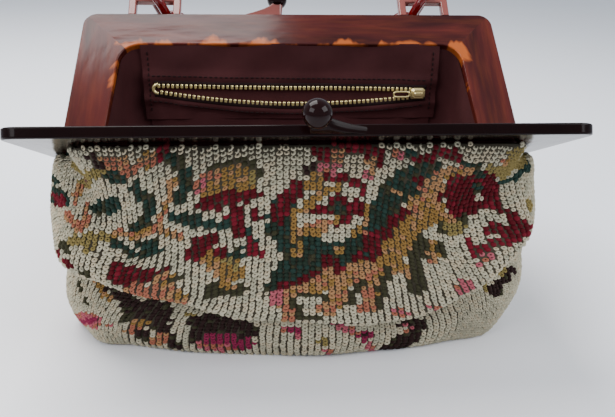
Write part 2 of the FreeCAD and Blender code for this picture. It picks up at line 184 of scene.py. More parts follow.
def mix_colour(made, factor, first, second):
    """A mix of two colours; each value is a number, a colour or a socket."""
    node = add_node(made, "ShaderNodeMix")
    node.data_type = "RGBA"
    colours = [socket for socket in node.inputs if socket.type == "RGBA"]
    for target, value in zip([node.inputs["Factor"], *colours], (factor, first, second)):
        give(made, target, value)
    return next(socket for socket in node.outputs if socket.type == "RGBA")


def noise(made, vector, scale, detail=3.0, roughness=0.5, distortion=0.0):
    node = add_node(made, "ShaderNodeTexNoise", Vector=vector, Scale=scale, Detail=detail,
                    Roughness=roughness, Distortion=distortion)
    return node.outputs["Fac"]


def bump(made, height, strength, distance):
    node = add_node(made, "ShaderNodeBump", Height=height, Strength=strength, Distance=distance)
    set_shader(made, Normal=node.outputs["Normal"])


def calculate(made, operation, *values):
    """A maths node; each value is a number or a socket."""
    node = add_node(made, "ShaderNodeMath")
    node.operation = operation
    for target, value in zip(node.inputs, values):
        give(made, target, value)
    return node.outputs[0]


def shell_place(made, lean, side):
    """Sockets for a point of a frame half: how far along the half's inner edge, and how far out from it."""
    across, back, up = add_node(made, "ShaderNodeSeparateXYZ", Vector=object_coordinates(made)).outputs
    lifted = calculate(made, "SUBTRACT", up, HINGE_Z * MM)
    along_y = calculate(made, "MULTIPLY", back, side * math.sin(lean))
    reach = calculate(made, "MULTIPLY_ADD", lifted, math.cos(lean), along_y)
    past_bar = calculate(made, "SUBTRACT", reach, BAR_REACH * MM)
    past_arm = calculate(made, "SUBTRACT", calculate(made, "ABSOLUTE", across), BAR_HALF * MM)
    on_bar = calculate(made, "GREATER_THAN", past_bar, past_arm)
    down_arm = calculate(made, "MULTIPLY_ADD", reach, calculate(made, "SIGN", across), across)
    along = calculate(made, "MULTIPLY_ADD", calculate(made, "SUBTRACT", across, down_arm), on_bar, down_arm)
    return along, calculate(made, "MAXIMUM", past_bar, past_arm)


def stretched(made, along, past, along_scale, past_scale):
    """A texture vector along and across a frame half's bar and arms."""
    return add_node(made, "ShaderNodeCombineXYZ", X=calculate(made, "MULTIPLY", along, along_scale),
                    Y=calculate(made, "MULTIPLY", past, past_scale)).outputs[0]


def tortoiseshell(name, side, dark, middle, amber, gloss):
    """Glossy acrylic: dark streaks along the bar and arms, and amber patches along the inner edge."""
    made = material(name, middle, 0.15, Specular_IOR_Level=gloss)
    along, past = shell_place(made, FRONT_LEAN if side < 0 else BACK_LEAN, side)
    streaks = noise(made, stretched(made, along, past, 11.0, 62.0), 1.0, 3.0, 0.55, 0.5)
    base = ramp(made, streaks, [(0.36, dark), (0.64, middle)])
    patches = noise(made, stretched(made, along, past, 46.0, 20.0), 1.0, 3.0, 0.60, 0.3)
    fading = calculate(made, "MULTIPLY", calculate(made, "MAXIMUM", past, 0.0), -30.0)
    blotches = ramp(made, calculate(made, "ADD", patches, fading), [(0.44, (0, 0, 0)), (0.52, (1, 1, 1))])
    fine = noise(made, stretched(made, along, past, 26.0, 240.0), 1.0, 3.0, 0.6)
    streaked = mix_colour(made, 0.10, base, ramp(made, fine, [(0.42, dark), (0.72, amber)]))
    set_shader(made, Base_Color=mix_colour(made, blotches, streaked, amber))
    bump(made, noise(made, stretched(made, along, past, 30.0, 110.0), 1.0, 2.0), 0.22, 0.0012)
    return made


def woven(name, colour, tint, scale, strength):
    """A fine plain weave with slightly uneven dye."""
    made = material(name, colour, 0.85, Specular_IOR_Level=0.2)
    where = object_coordinates(made)
    cloud = noise(made, where, 35.0, 4.0, 0.6)
    set_shader(made, Base_Color=ramp(made, cloud, [(0.3, colour), (0.75, tint)]))
    wave = add_node(made, "ShaderNodeTexWave", Vector=where, Scale=scale, Distortion=0.6, Detail=1.0)
    wave.bands_direction = "DIAGONAL"
    bump(made, wave.outputs["Fac"], strength, 0.0003)
    return made


BAR_REACH = 75.5
BAR_HALF = 110.0
FOOT_HALF = 115.5
CORNER = 14.0

FRONT_SHELL = tortoiseshell("tortoiseshell_front", -1, (0.004, 0.001, 0.001), (0.007, 0.0015, 0.0015),
                            (0.03, 0.006, 0.003), 0.09)
BACK_SHELL = tortoiseshell("tortoiseshell_back", 1, (0.024, 0.004, 0.004), (0.072, 0.011, 0.009),
                           (0.33, 0.078, 0.017), 0.25)
CLASP = material("clasp_acrylic", (0.008, 0.0015, 0.0015), 0.05, Specular_IOR_Level=0.14)
LUG_SHELL = material("tortoiseshell_lug", (0.20, 0.055, 0.045), 0.12)
CHERRY = material("cherry_acrylic", (0.16, 0.002, 0.002), 0.06, IOR=1.49, Transmission_Weight=0.35,
                  Specular_IOR_Level=0.35)
LINING = woven("lining_cloth", (0.040, 0.0085, 0.0095), (0.060, 0.014, 0.015), 900.0, 0.35)
THREAD = material("lining_thread", (0.012, 0.004, 0.004), 0.8, Specular_IOR_Level=0.2)
TAPE = woven("zip_tape_cloth", (0.012, 0.004, 0.004), (0.020, 0.007, 0.007), 1400.0, 0.5)
# The backing cloth is coloured as dark as the shade in the gaps between the loops: painted shade on the
# canvas.
BACKING_PAINTED_SHADE = woven("tapestry_backing_painted_shade", (0.035, 0.028, 0.018), (0.060, 0.050, 0.032), 700.0, 0.5)
GUSSET = woven("gusset_cloth", (0.24, 0.21, 0.14), (0.34, 0.30, 0.21), 900.0, 0.6)
BOARD = woven("board_fibre", (0.10, 0.075, 0.05), (0.16, 0.12, 0.08), 300.0, 0.2)
BRASS = material("brass", (0.80, 0.66, 0.30), 0.26, Metallic=0.65)
STEEL = material("steel", (0.45, 0.45, 0.45), 0.3, Metallic=1.0)
FLOOR = material("pale_table", (0.80, 0.81, 0.83), 0.6, Specular_IOR_Level=0.2)
# Painted shadow: the table is darker in a soft disc round the bag and paler further off.
shrunk = add_node(FLOOR, "ShaderNodeMapping", Vector=object_coordinates(FLOOR), Scale=(2.2, 2.2, 2.2))
painted_shadow_disc = add_node(FLOOR, "ShaderNodeTexGradient", Vector=shrunk.outputs["Vector"])
painted_shadow_disc.gradient_type = "SPHERICAL"
painted_shadow_table_colours = [(0.40, (0.87, 0.89, 0.935)), (0.63, (0.79, 0.785, 0.80))]
set_shader(FLOOR, Base_Color=ramp(FLOOR, painted_shadow_disc.outputs["Fac"], painted_shadow_table_colours))

YARNS = {
    "cream": (0.43, 0.39, 0.28),
    "cream_grey": (0.35, 0.325, 0.235),
    "cream_warm": (0.44, 0.375, 0.26),
    "maroon": (0.066, 0.0022, 0.0055),
    "wine": (0.120, 0.005, 0.013),
    "green": (0.012, 0.022, 0.014),
    "teal": (0.012, 0.030, 0.023),
    "moss": (0.030, 0.028, 0.013),
    "brown": (0.018, 0.007, 0.006),
    "gold": (0.23, 0.130, 0.036),
    "tan": (0.33, 0.175, 0.080),
    "olive": (0.21, 0.160, 0.055),
    "salmon": (0.31, 0.108, 0.064),
    "pink": (0.36, 0.090, 0.110),
    "magenta": (0.20, 0.014, 0.050),
}
YARN_NAMES = list(YARNS)
YARN_MATERIALS = {name: material("yarn_" + name, colour, 0.85, Specular_IOR_Level=0.15)
                  for name, colour in YARNS.items()}
CUT_PILE = ("maroon", "wine", "green", "teal", "moss", "brown")

# ---- the frame's inner edge

TUCK = 3.0
UNDER_PLATE = 6.9


def frame_edge(share, grow):
    """Points (x, reach) of one side of a half's inner edge, from the bar's middle to the hinge."""
    bar = BAR_REACH + grow
    side = BAR_HALF + grow
    turn = np.linspace(0, math.pi / 2, 9)
    xs = np.concatenate([[0.0], side - CORNER + CORNER * np.sin(turn), [FOOT_HALF + grow]])
    ys = np.concatenate([[bar], bar - CORNER + CORNER * np.cos(turn), [0.0]])
    along = np.concatenate([[0.0], np.cumsum(np.hypot(np.diff(xs), np.diff(ys)))])
    along /= along[-1]
    return np.interp(share, along, xs), np.interp(share, along, ys)


def in_row_frame(side, x, reach, under):
    """A point of a frame half, in the row frame, at a reach from the hinge line and under the plate."""
    lean = FRONT_LEAN if side < 0 else BACK_LEAN
    y = side * (reach * math.sin(lean) + under * math.cos(lean))
    z = HINGE_Z + reach * math.cos(lean) - under * math.sin(lean)
    return points_at(x, y, z)


# ---- the tapestry's surface

STRAIGHT = 82.0
ARC = 86.0
SEAM_U = {-1: STRAIGHT + ARC + 22.0, 1: STRAIGHT + ARC + 15.0}
HINGE_POINT = np.array([117.0, 0.0, HINGE_Z - 6.8])
HELD_SHARES = [0, 0.46, 0.90, 1.0]
NEAR_HINGE = 16.0
CURVE_SAMPLES = 181


def half_length(u, z):
    """Half the bag's length; its left end is a little fuller than its right."""
    heights = [0, 6, 15, 30, 50, 65, 95]
    left = np.interp(z, heights, [128, 136, 140, 140, 133, 136, 138])
    right = np.interp(z, heights, [116, 126, 134, 137, 135, 131, 132])
    return np.where(u < 0, left, right)


def depth(side, z):
    """How far the front or the back stands from the hinge line, at height z."""
    if side < 0:
        return np.interp(z, [0, 8, 30, 60, 95], [63, 69, 75, 78, 78])
    return np.interp(z, [0, 8, 30, 60, 95], [50, 56, 62, 67, 70])


def corner_radius(z):
    return np.interp(z, [0, 15, 40, 65], [30, 36, 46, 55])


def level_point(side, u, z, out):
    """A point of the level outline at height z, pushed out from it, for a distance u round the bag."""
    away = np.abs(u)
    first = np.clip(away / STRAIGHT, 0, 1)
    second = np.clip((away - STRAIGHT) / ARC, 0, 1) * math.pi / 2
    third = np.clip((away - STRAIGHT - ARC) / (SEAM_U[side] - STRAIGHT - ARC), 0, 1)
    radius = corner_radius(z)
    length = half_length(u, z) + out
    reach = depth(side, z) + out
    x = (length - radius) * first + radius * np.sin(second)
    y = reach - radius * (1 - np.cos(second)) - (reach - radius) * third
    bow = np.interp(z, [0, 30, 95], [11, 7, 3.5]) * np.where(u < 0, 1.4, 0.9)
    y = y - bow * first ** 2 * (1 - third)
    return points_at(np.sign(u) * x, side * y, z)


def held_point(side, u, grow, under, hinge_point):
    """Where cloth is held: under the frame's inner edge, and beside the hinge at the end of each arm."""
    share = np.interp(np.abs(u), [0, STRAIGHT, STRAIGHT + ARC, SEAM_U[side]], HELD_SHARES)
    x, reach = frame_edge(share, grow)
    away = smooth(reach / NEAR_HINGE)[..., None]
    point = hinge_point * (1 - away) + in_row_frame(side, x, reach, under) * away
    point[..., 0] *= np.where(u < 0, -1, 1)
    return point


def crease(side, u):
    """The height and the strength of the fold where the upper cloth hangs over the lower."""
    if side > 0:
        height = np.interp(np.abs(u), [0, 90, 200], [34, 50, 58])
        strength = np.interp(np.abs(u), [0, 40, 90, 200], [0.2, 0.3, 0.8, 0.3])
        return height, strength
    height = np.interp(u, [-196, -147, -100, -65, -30, 30, 52, 66, 80, 100, 125, 196],
                       [64, 63, 59, 49, 37, 29, 32, 40, 49, 62, 76, 84])
    strength = np.interp(u, [-196, -165, -110, -70, -40, -10, 30, 60, 120, 150, 196],
                         [0.1, 0.35, 1.1, 1.2, 0.9, 0.45, 0.45, 1.2, 1.15, 0.45, 0.1])
    return height, strength


def wrinkle(u, z):
    """Soft unevenness of the hanging cloth."""
    return (0.9 * np.sin(u / 17.0 + 1.3 * np.sin(z / 23.0))
            + 0.7 * np.sin(u / 9.0 - z / 14.0 + 1.0)
            + 0.8 * np.sin(z / 11.0 + u / 41.0))


def catmull(points, share):
    """A smooth curve through the control points, sampled at shares of its parameter."""
    count = len(points)
    padded = np.concatenate([2 * points[:1] - points[1:2], points, 2 * points[-1:] - points[-2:-1]])
    where = np.clip(share * (count - 1), 0, count - 1 - 1e-9)
    index = where.astype(int)
    t = (where - index)[:, None, None]
    a, b, c, d = (padded[index + step] for step in range(4))
    second = (2 * a - 5 * b + 4 * c - d) * t ** 2
    third = (3 * b - a - 3 * c + d) * t ** 3
    return 0.5 * (2 * b + (c - a) * t + second + third)


def tapestry_profiles(side, u, inset=0.0):
    """Curves up the cloth at each u: an array of samples by columns by xyz."""
    height, strength = crease(side, u)
    ease = smooth((np.abs(u) - 150) / 50.0)
    top_height = np.interp(np.abs(u), [0, 90, 120, 150, 175, 190], [97, 97, 108, 110, 101, 93])
    top_out = np.interp(u, [-120, -80, 80, 120], [-6.0, 0.5, 0.5, -2.0]) if side < 0 else 3.0
    levels = [
        (0.4, -inset),
        (5.0, -inset),
        (height * 0.45, -2.5 * strength - inset),
        (height - 5.0, -4.5 * strength - inset),
        (height - 0.5 * strength, -2.5 * strength - inset),
        (height + 1.0, 6.0 * strength - inset),
        (height + 9.0, 6.5 * strength - inset),
        (np.maximum(height + 20.0, 76.0), 2.5 * strength * (1 - ease) - inset),
        (top_height, top_out - inset),
    ]
    rows = [level_point(side, u, z, out + wrinkle(u, z) * (z > 3) * (1 - ease)) for z, out in levels]
    top = held_point(side, u, TUCK, UNDER_PLATE, HINGE_POINT)
    top[..., 2] -= inset * 0.1
    return catmull(np.array([*rows, top]), np.linspace(0, 1, CURVE_SAMPLES))


def rows_along(curves, pitch, offset):
    """Points spaced evenly up each curve, and which of them lie on it."""
    steps = np.linalg.norm(np.diff(curves, axis=0), axis=-1)
    along = np.concatenate([np.zeros((1, curves.shape[1])), np.cumsum(steps, axis=0)])
    most = int(along[-1].max() / pitch) + 1
    wanted = offset + pitch * np.arange(most)
    points = np.empty((most, curves.shape[1], 3))
    for column in range(curves.shape[1]):
        for axis in range(3):
            points[:, column, axis] = np.interp(wanted, along[:, column], curves[:, column, axis])
    return points, wanted[:, None] < along[-1][None, :], np.broadcast_to(wanted[:, None], points.shape[:2])


# ---- the woven picture

def petal(colour, u, v, long, wide, turn=0.0):
    """An oval patch of one yarn: its middle, its half length and half width, and its turn in degrees."""
    return (colour, "petal", (u, v, long, wide, turn))


def stem(colour, width, *points):
    """A line of one yarn through the points, width on each side of it."""
    return (colour, "stem", (width, points))


LEFT_SPRAY = [
    stem("olive", 2.4, (-95, 143), (-110, 134), (-129, 126)),
    stem("olive", 1.8, (-104, 138), (-114, 125), (-122, 120)),
    stem("tan", 1.8, (-120, 120), (-123, 111)),
    stem("salmon", 2.3, (-113, 114), (-110, 108), (-115, 102), (-128, 99)),
    petal("salmon", -84, 144, 9, 3, -25),
    stem("tan", 1.5, (-75, 144), (-66, 142)),
    petal("brown", -94, 145, 3, 1.5),
    petal("maroon", -63.5, 142, 3.5, 2),
    petal("green", -87.5, 140, 6.5, 2, -3),
    petal("green", -99, 121.5, 13, 3.2, 33),
    stem("green", 2.6, (-79, 134), (-77, 129), (-72.5, 124), (-73, 118), (-77, 112)),
    stem("green", 1.8, (-77, 112), (-84, 113)),
    stem("tan", 1.8, (-59, 131), (-61, 126), (-65, 117), (-71, 109.5), (-79, 108), (-90, 109), (-96, 107)),
    stem("tan", 1.3, (-71, 109.5), (-66, 104.5), (-60, 100)),
    stem("olive", 2.0, (-97, 106.5), (-105, 102), (-112, 97), (-117, 92)),
    petal("olive", -106, 97, 4, 2.5, 40),
    stem("green", 2.4, (-60, 140), (-56, 136), (-53.5, 130), (-55, 123)),
    petal("green", -57, 121, 5, 3.2, 80),
    petal("gold", -61, 129, 2, 3),
    petal("green", -91, 102.5, 4.5, 2, -25),
    petal("green", -77, 102.5, 6.5, 2, -12),
    petal("teal", -75, 97.5, 8, 2.2, -8),
    stem("green", 1.2, (-89, 101), (-82, 98), (-74, 97)),
    stem("green", 1.8, (-152, 99), (-140, 104), (-130, 105)),
    petal("maroon", -142, 98.5, 13, 3.2, 18),
    stem("green", 1.5, (-158, 93), (-147, 95)),
    petal("green", -145, 124.5, 6, 1.5),
    petal("green", -145, 108.5, 6, 1.6, 12),
    petal("moss", -121, 85, 6, 1.5, 25),
    stem("maroon", 1.1, (-127, 78), (-112, 82)),
    petal("moss", -105, 83.5, 4.5, 1.3),
    petal("olive", -168, 112, 8, 4, 30),
    stem("tan", 1.6, (-160, 128), (-172, 116), (-188, 110)),
    petal("maroon", -178, 88, 7, 4.5),
    petal("green", -186, 96, 6, 2.5, 40),
]

LEFT_FLOWERS = [
    petal("moss", -35, 123.5, 14.5, 10),
    petal("gold", -36, 122.5, 12.5, 8.2),
    petal("salmon", -41, 127, 5, 2.4),
    petal("pink", -47.5, 124, 2.2, 4.5),
    petal("maroon", -39, 114.5, 11, 4.5),
    petal("maroon", -25, 113, 5, 2.5),
    petal("gold", -27, 119, 4, 3),
    petal("olive", -23.5, 123, 1.5, 4),
    stem("green", 2.0, (-61, 110.5), (-54, 107), (-50, 106.5)),
    stem("teal", 1.4, (-54, 107), (-43.5, 103.5), (-35, 101)),
    stem("teal", 1.7, (-35, 101), (-30, 97), (-26, 90), (-27, 84)),
    petal("maroon", -32, 104.5, 4, 4),
    petal("maroon", -23.5, 103, 2.5, 3.5),
    petal("maroon", -32, 95.5, 4.5, 3.2),
    stem("wine", 2.1, (-28, 88), (-25, 83), (-20.5, 81)),
    petal("maroon", -84, 86.5, 9, 5, -18),
    petal("maroon", -72, 83, 8, 3),
    petal("tan", -64, 77, 6, 4, -60),
    stem("salmon", 3.6, (-78, 77), (-70, 70), (-60, 63)),
    stem("tan", 2.0, (-66, 80), (-61, 72), (-57, 66)),
    petal("moss", -61, 77, 1.8, 3),
    petal("brown", -87, 72, 3, 1.5),
    petal("brown", -73, 66, 3, 2),
    petal("gold", -97, 75, 3.5, 2.5, -35),
    petal("maroon", -49.5, 90, 6.5, 7.5),
    petal("maroon", -45, 95, 3.5, 3),
    petal("gold", -40, 79, 12, 5.5, -42),
    petal("maroon", -41, 85.5, 2.3, 5, 20),
    petal("olive", -36, 78, 6, 1.5, -42),
    petal("green", -33, 84, 3, 3.5),
    petal("moss", -44.5, 66, 3.5, 5),
    petal("moss", -35, 64, 8, 3.5, -15),
    petal("gold", -37, 67.5, 6, 1.8, -15),
]

LOWER_LEFT = [
    petal("olive", -128, 55, 8, 1.8, 8),
    petal("gold", -113, 53, 8, 2.2, -15),
    petal("gold", -104, 48.5, 6, 1.8, -10),
    petal("brown", -103, 53.5, 6, 2.2, -10),
    stem("moss", 2.0, (-90, 45), (-85, 38), (-82, 31)),
    stem("brown", 4.0, (-98, 54), (-89, 48), (-80, 42), (-73, 34)),
    stem("brown", 5.0, (-76, 44), (-69, 36), (-68, 28)),
    stem("brown", 3.0, (-73, 34), (-66, 25), (-60, 14), (-57, 8)),
    petal("gold", -75, 28, 4.5, 3, -40),
    petal("salmon", -78, 22, 2.2, 4.5),
    petal("brown", -72.5, 15, 2.5, 7),
    petal("salmon", -65, 13, 6.5, 3.5, 60),
    stem("pink", 5.0, (-104, 29), (-120, 22), (-136, 14), (-156, 9)),
    stem("magenta", 1.6, (-104, 29), (-125, 18), (-140, 11)),
    petal("pink", -92, 27, 2.5, 1.5),
    petal("moss", -118, 38, 3, 1.2, -40),
    petal("moss", -128, 44, 3, 1.2, -40),
    petal("olive", -54, 34, 2.5, 2),
    petal("brown", -38, 29, 17, 6.5, -4),
    petal("pink", -36, 9.5, 12, 5),
    petal("magenta", -37, 16.5, 13, 4),
    petal("brown", -48, 20, 2.5, 7),
    petal("brown", -24, 23, 4, 6),
    petal("magenta", -26, 12, 5, 6),
    stem("brown", 2.5, (-150, 50), (-165, 44), (-180, 46)),
    petal("salmon", -172, 28, 8, 3, 20),
]

CENTRE_SPRAY = [
    petal("maroon", 11, 132.5, 8, 3.5),
    petal("tan", 16, 129, 3.5, 5),
    petal("pink", 11, 124.5, 6, 4.5),
    petal("gold", 9, 120.5, 6, 2.5),
    petal("brown", 3.5, 124, 1.8, 4),
    petal("maroon", 27, 134, 9, 2.8),
    petal("maroon", 35, 131.5, 4, 3, 60),
    petal("pink", 31, 124, 5, 3.5),
    petal("tan", 33, 128, 2, 4),
    petal("cream_warm", 24.5, 127, 6, 5),
    stem("maroon", 2.2, (12, 119.5), (20, 119.5), (27, 118), (29, 114)),
    stem("green", 5.2, (-7, 107), (-12, 100), (-13, 93), (-9, 87)),
    stem("green", 5.0, (-9, 88), (-6, 82), (-5, 75), (-8, 68), (-13, 62)),
    stem("maroon", 3.8, (-1, 116), (-5, 111), (-9, 106), (-12, 99)),
    stem("green", 6.5, (2, 84), (10, 82), (18, 79), (26, 84), (33, 88)),
    stem("green", 6.5, (-3, 77), (8, 75), (20, 75)),
    stem("green", 6.0, (36, 92), (40, 103), (44, 112), (47, 121)),
    stem("green", 5.5, (46, 118), (50, 124), (57, 131), (62, 135)),
    petal("cream", 15, 103, 18, 15),
    petal("gold", 5, 116, 4, 2),
    stem("gold", 1.8, (-3.5, 102), (-4.5, 95), (-3, 87), (-2.5, 80)),
    stem("gold", 1.4, (1, 104), (5, 109), (10, 113), (18, 116)),
    petal("maroon", 10.5, 103.5, 4.5, 2.4),
    petal("maroon", 17, 108.5, 4.5, 2.8),
    petal("maroon", 27, 106.5, 4.2, 4.2),
    petal("maroon", 20, 98.5, 4, 2.5),
    petal("green", 18.5, 104, 4.2, 3),
    stem("tan", 1.6, (2, 94), (9, 97), (16, 98.5)),
    stem("gold", 1.3, (-3, 91), (4, 91), (11, 94)),
    petal("gold", 19, 82, 3, 2),
    stem("gold", 1.3, (33, 108), (34, 101), (30, 94), (26, 90)),
    petal("tan", 35.5, 93.5, 2, 1.8),
    petal("tan", 49, 120, 3, 2),
    petal("maroon", 13.5, 75, 4, 4.5),
    stem("maroon", 2.2, (-11, 61), (0, 65), (7, 69)),
    petal("maroon", 20, 70, 5, 2.8),
    stem("maroon", 2.3, (24, 73), (30, 79), (37, 77)),
    stem("maroon", 3.0, (34, 88), (40, 82), (37, 76)),
    stem("maroon", 3.4, (40, 92), (45, 98), (52, 106), (57, 112)),
    stem("tan", 3.2, (-10, 57), (0, 60), (8, 63), (15, 66)),
    stem("salmon", 2.8, (-9, 55), (-7, 48), (-7, 39)),
    petal("pink", -13, 54, 1.8, 5),
    stem("tan", 3.3, (12, 70), (14, 62), (15, 55), (12, 48)),
    stem("tan", 2.6, (20, 66), (19, 58), (17, 51)),
    petal("salmon", 11.5, 47, 4, 3.5),
    stem("moss", 1.6, (-4, 54), (-3, 45), (0, 42), (8, 42)),
    stem("moss", 1.3, (0, 55.5), (8, 57), (11, 55)),
    stem("moss", 1.9, (22, 51), (24, 57), (28, 62), (30, 64)),
    stem("tan", 4.2, (24, 68), (31, 73), (38, 73)),
    stem("tan", 3.4, (36, 72), (35, 63), (33, 55), (32, 49)),
    petal("salmon", 30.5, 48.5, 3, 4),
    stem("moss", 1.5, (40.5, 70), (38.5, 60), (35.5, 51)),
    stem("gold", 5.2, (44, 79), (48, 88), (54, 98)),
    petal("moss", 43, 73, 2.5, 3.5),
    petal("moss", 54, 71, 4, 6),
    petal("gold", 51.5, 77, 3, 5),
    stem("moss", 2.2, (58, 98), (57, 88), (58, 78), (57, 70)),
    petal("pink", 46, 48.5, 4, 3, 45),
    petal("pink", 48, 40, 3.5, 1.8, 20),
]

RIGHT_FLOWER = [
    petal("maroon", 58, 139.5, 6, 2.5, 20),
    petal("green", 60, 134, 7, 4.5),
    petal("maroon", 57, 127, 4, 2.5),
    petal("green", 55, 122, 6, 4),
    petal("maroon", 88, 131, 15, 9, -5),
    petal("maroon", 90, 121, 13, 8),
    petal("maroon", 105, 124, 9.5, 7, -60),
    petal("maroon", 76, 128, 7, 4, 20),
    petal("cream", 97, 122, 2.8, 2.2),
    petal("green", 95.5, 128, 4.8, 2.9, -25),
    stem("green", 1.9, (80, 143), (86, 141), (91, 136)),
    stem("tan", 2.6, (61, 125), (66, 132), (74, 138), (82, 139)),
    stem("maroon", 2.6, (50, 105), (58, 113), (70, 123)),
    stem("tan", 3.2, (58, 116), (64, 121), (69, 127)),
    stem("tan", 2.0, (68, 112), (76, 113), (84, 111)),
    stem("gold", 4.2, (52, 95), (58, 104), (66, 112), (72, 116)),
    petal("moss", 79, 108, 6.5, 5),
    petal("olive", 85, 107.5, 7, 3.5),
    petal("moss", 90, 111.5, 3, 3),
    petal("tan", 79, 113, 3, 2),
    petal("moss", 63, 94, 3.5, 7),
    petal("gold", 68.5, 92.5, 3, 6.5, -10),
    petal("moss", 74.5, 94, 3, 4.5),
    petal("tan", 67, 87, 2, 3),
    petal("wine", 90.5, 95, 4, 3, 70),
    stem("wine", 2.6, (92, 92), (100, 95), (108, 97), (116, 100), (120, 102)),
    petal("maroon", 103, 104, 4.5, 3.2, 20),
    stem("maroon", 2.7, (112, 112), (115, 107), (117, 103)),
    petal("maroon", 111, 101.5, 5, 3),
    stem("pink", 1.6, (92, 86), (97, 90)),
    stem("teal", 1.6, (111, 131), (120, 130), (128, 128), (138, 125)),
    stem("olive", 2.4, (96, 140), (105, 137.5), (114, 135)),
    stem("tan", 1.6, (102, 144), (114, 141)),
    stem("olive", 3.0, (108, 143), (120, 139), (135, 134), (152, 130)),
    stem("olive", 2.0, (126, 133), (140, 129), (152, 125)),
    petal("olive", 127, 110.5, 4, 2.5, -25),
    petal("pink", 77.5, 72.5, 4.8, 3, 40),
    stem("pink", 2.2, (61, 58), (68, 56), (72, 60)),
    petal("maroon", 165, 104, 8, 5, 30),
    petal("green", 174, 112, 7, 2.5, -30),
    stem("tan", 1.8, (154, 92), (166, 84), (178, 86)),
]

LOWER_RIGHT = [
    stem("pink", 1.9, (-8, 27), (-3, 26), (-1, 21)),
    petal("magenta", -2, 26, 2, 2.5),
    petal("olive", 10, 17, 1.5, 4),
    petal("magenta", 15, 36, 4.5, 1.8),
    petal("brown", 16.5, 33, 4, 2.2),
    stem("pink", 1.8, (17, 30), (23, 25), (29, 20)),
    petal("magenta", 30.5, 19, 3.7, 3.7),
    petal("brown", 31, 20, 2, 2),
    stem("pink", 1.6, (32, 14), (35, 8), (39, 2)),
    stem("pink", 1.2, (13, 11), (15, 3)),
    stem("brown", 3.5, (53, 22), (49, 12), (44, 4)),
    stem("brown", 4.0, (58, 23), (56, 14), (52, 4)),
    petal("pink", 54, 20, 2, 4),
    petal("cream", 50, 19, 1.5, 2.5),
    petal("gold", 57, 36, 3, 1.6, 35),
    petal("pink", 51, 31, 4, 2, 20),
    stem("pink", 2.5, (69, 43), (75, 47), (80, 50)),
    stem("pink", 2.7, (82, 50), (87, 55), (93, 59)),
    stem("tan", 1.3, (100, 64), (112, 65), (122, 66)),
    stem("maroon", 3.2, (110, 73), (121, 77), (135, 80), (150, 74)),
    stem("maroon", 2.4, (125, 71), (138, 73), (152, 68)),
    stem("brown", 1.2, (127, 76), (135, 73), (140, 71)),
    petal("olive", 122, 56, 8, 2.2, -8),
    petal("olive", 102.5, 50, 2, 4),
    petal("brown", 115, 49.5, 12, 3.4, 8),
    petal("brown", 112, 45, 5, 4.5),
    petal("brown", 128, 54, 6, 2.2),
    petal("pink", 165, 50, 7, 4),
    petal("gold", 158, 30, 6, 3, 30),
]

TOP_ROWS = [
    petal("brown", -96, 149, 5, 2.5),
    petal("salmon", -86, 149, 8, 2.5),
    petal("tan", -72, 147, 5, 1.5),
    petal("maroon", -63, 145, 3, 2),
    petal("maroon", 12, 136, 8, 3),
    petal("maroon", 27, 137, 10, 2.5),
    petal("pink", 45, 137, 4, 1.5),
    petal("green", 54, 139, 5, 2.5),
    petal("maroon", 68, 146, 9, 2.2),
    petal("olive", 107, 149, 8, 3),
]

MOTIFS = [*TOP_ROWS, *LEFT_SPRAY, *LEFT_FLOWERS, *LOWER_LEFT, *CENTRE_SPRAY, *RIGHT_FLOWER, *LOWER_RIGHT]
UNEVEN_EDGE = 0.8
GROWN = 0.45
SHADES = {
    "cream": ("cream", "cream", "cream_grey", "cream_warm"),
    "gold": ("gold", "gold", "gold", "tan"),
    "tan": ("tan", "tan", "tan", "salmon", "gold"),
    "salmon": ("salmon", "salmon", "tan"),
    "maroon": ("maroon", "maroon", "maroon", "wine"),
    "green": ("green", "green", "teal", "teal", "moss"),
    "brown": ("brown", "brown", "brown", "brown", "moss"),
    "pink": ("pink", "pink", "salmon"),
}


def in_motif(kind, sizes, u, v):
    """Which of the stitches lie in a motif."""
    if kind == "petal":
        middle_u, middle_v, long, wide, turn = sizes
        angle = math.radians(turn)
        along = (u - middle_u) * math.cos(angle) + (v - middle_v) * math.sin(angle)
        across = (v - middle_v) * math.cos(angle) - (u - middle_u) * math.sin(angle)
        return (along / (long + GROWN)) ** 2 + (across / (wide + GROWN)) ** 2 < 1
    width, points = sizes
    inside = np.zeros(u.shape, bool)
    for (u0, v0), (u1, v1) in zip(points, points[1:]):
        run_u = u1 - u0
        run_v = v1 - v0
        share = np.clip(((u - u0) * run_u + (v - v0) * run_v) / (run_u ** 2 + run_v ** 2), 0, 1)
        inside |= np.hypot(u - u0 - share * run_u, v - v0 - share * run_v) < width + GROWN
    return inside


def paint_motifs(u, v):
    """The yarn's number for each stitch, with stepped edges and mixed shades."""
    v = v - np.interp(np.abs(u), [40, 90], [1.5, 5.0]) * smooth((v - 62.0) / 20.0)
    u = u + RANDOM.uniform(-UNEVEN_EDGE, UNEVEN_EDGE, u.shape)
    v = v + RANDOM.uniform(-UNEVEN_EDGE, UNEVEN_EDGE, v.shape)
    chosen = np.full(u.shape, "cream", dtype="U12")
    for colour, kind, sizes in MOTIFS:
        chosen[in_motif(kind, sizes, u, v)] = colour
    numbers = np.zeros(u.shape, int)
    for colour in YARN_NAMES:
        here = chosen == colour
        shades = [YARN_NAMES.index(name) for name in SHADES.get(colour, (colour,))]
        numbers[here] = RANDOM.choice(shades, size=int(here.sum()))
    return numbers


# ---- stitches

COLUMN_PITCH = 3.15
ROW_PITCH = 2.4
FIRST_ROW = 1.0
FIRST_COLUMN = 0.9
LOOP_LIFT = 0.9
LOOP_LEAN = 0.50
# A loop's half width, half height and yarn radius, and a tuft's radius and height.
LOOP = (1.02, 0.76, 0.60)
TUFT = (1.70, 2.0)
BACKING_THICK = 1.2
# The order of a face's corners that makes rings stacked along a template face outward.
OUTWARD = [0, 3, 2, 1]


